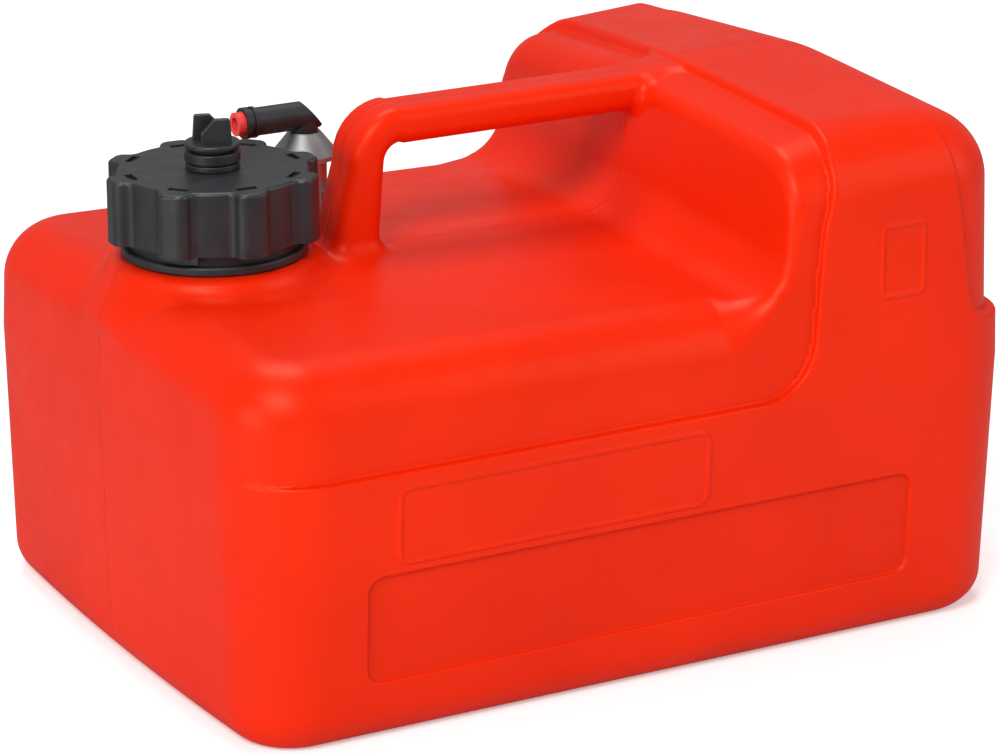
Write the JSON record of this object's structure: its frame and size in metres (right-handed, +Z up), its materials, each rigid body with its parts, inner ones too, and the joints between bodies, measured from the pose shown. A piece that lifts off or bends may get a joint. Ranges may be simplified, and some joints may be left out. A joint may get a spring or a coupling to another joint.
{
  "type": "portable fuel tank",
  "caption": "Low rectangular fuel tank with a rear hump, a moulded carry handle, a lobed screw filler cap with a winged vent screw, and a swivelling fuel outlet with a pickup tube inside.",
  "frame": {"origin": "middle of the tank's length and width, on the surface it stands on", "axes": "+X from the filler cap end to the hump end, +Y to the fuel outlet side, +Z up"},
  "size_m": [0.372, 0.285, 0.2323],
  "materials": {
    "red_tank": "satin moulded polyethylene",
    "black_plastic": "fine-grained satin",
    "inner_plastic": "satin",
    "seal_rubber": "smooth matt",
    "brass": "turned",
    "bright_metal": "bright plated",
    "spring_steel": "plain",
    "tube_plastic": "translucent white",
    "mesh_steel": "woven",
    "red_plug": "soft gloss"
  },
  "bodies": {
    "tank": {"tank_shell": "red_tank", "neck_ring": "black_plastic", "port_insert": "brass", "base_gasket": "seal_rubber", "outlet_base": "bright_metal", "pickup_tube": "tube_plastic", "strainer_cage": "inner_plastic", "strainer_mesh": "mesh_steel"},
    "cap_seal": {"cap_gasket": "seal_rubber"},
    "cap": {"cap_shell": "black_plastic", "inner_cap": "inner_plastic", "vent_sleeve": "black_plastic", "sleeve_washer": "seal_rubber", "sleeve_nut": "inner_plastic"},
    "vent_seal": {"vent_o_ring": "seal_rubber"},
    "vent": {"vent_screw": "black_plastic"},
    "elbow": {"outlet_elbow": "black_plastic", "elbow_o_ring": "seal_rubber", "elbow_clip": "spring_steel"},
    "plug": {"port_plug": "red_plug"}
  },
  "joints": [
    {"name": "cap_rise", "type": "slide", "parent": "tank", "child": "cap_seal", "axis": [0, 0, 1], "range_m": [0, 0.009]},
    {"name": "cap_turn", "type": "hinge", "parent": "cap_seal", "child": "cap", "pos_m": [-0.131, 0, 0.2], "axis": [0, 0, 1], "range_deg": [0, 540.2]},
    {"name": "vent_rise", "type": "slide", "parent": "cap", "child": "vent_seal", "axis": [0, 0, 1], "range_m": [0, 0.0045]},
    {"name": "vent_turn", "type": "hinge", "parent": "vent_seal", "child": "vent", "pos_m": [-0.131, 0, 0.22], "axis": [0, 0, 1], "range_deg": [0, 540.2]},
    {"name": "elbow_swivel", "type": "hinge", "parent": "tank", "child": "elbow", "pos_m": [-0.0625, 0.052, 0.2], "axis": [0, 0, 1], "range_deg": [-135, 0]},
    {"name": "plug_pull", "type": "slide", "parent": "elbow", "child": "plug", "axis": [-1, 0, 0], "range_m": [0, 0.016]}
  ],
  "couplings": [
    {"joint": "cap_turn", "follows": "cap_rise", "rad_per_m": 1047.2},
    {"joint": "vent_turn", "follows": "vent_rise", "rad_per_m": 2094.4}
  ]
}
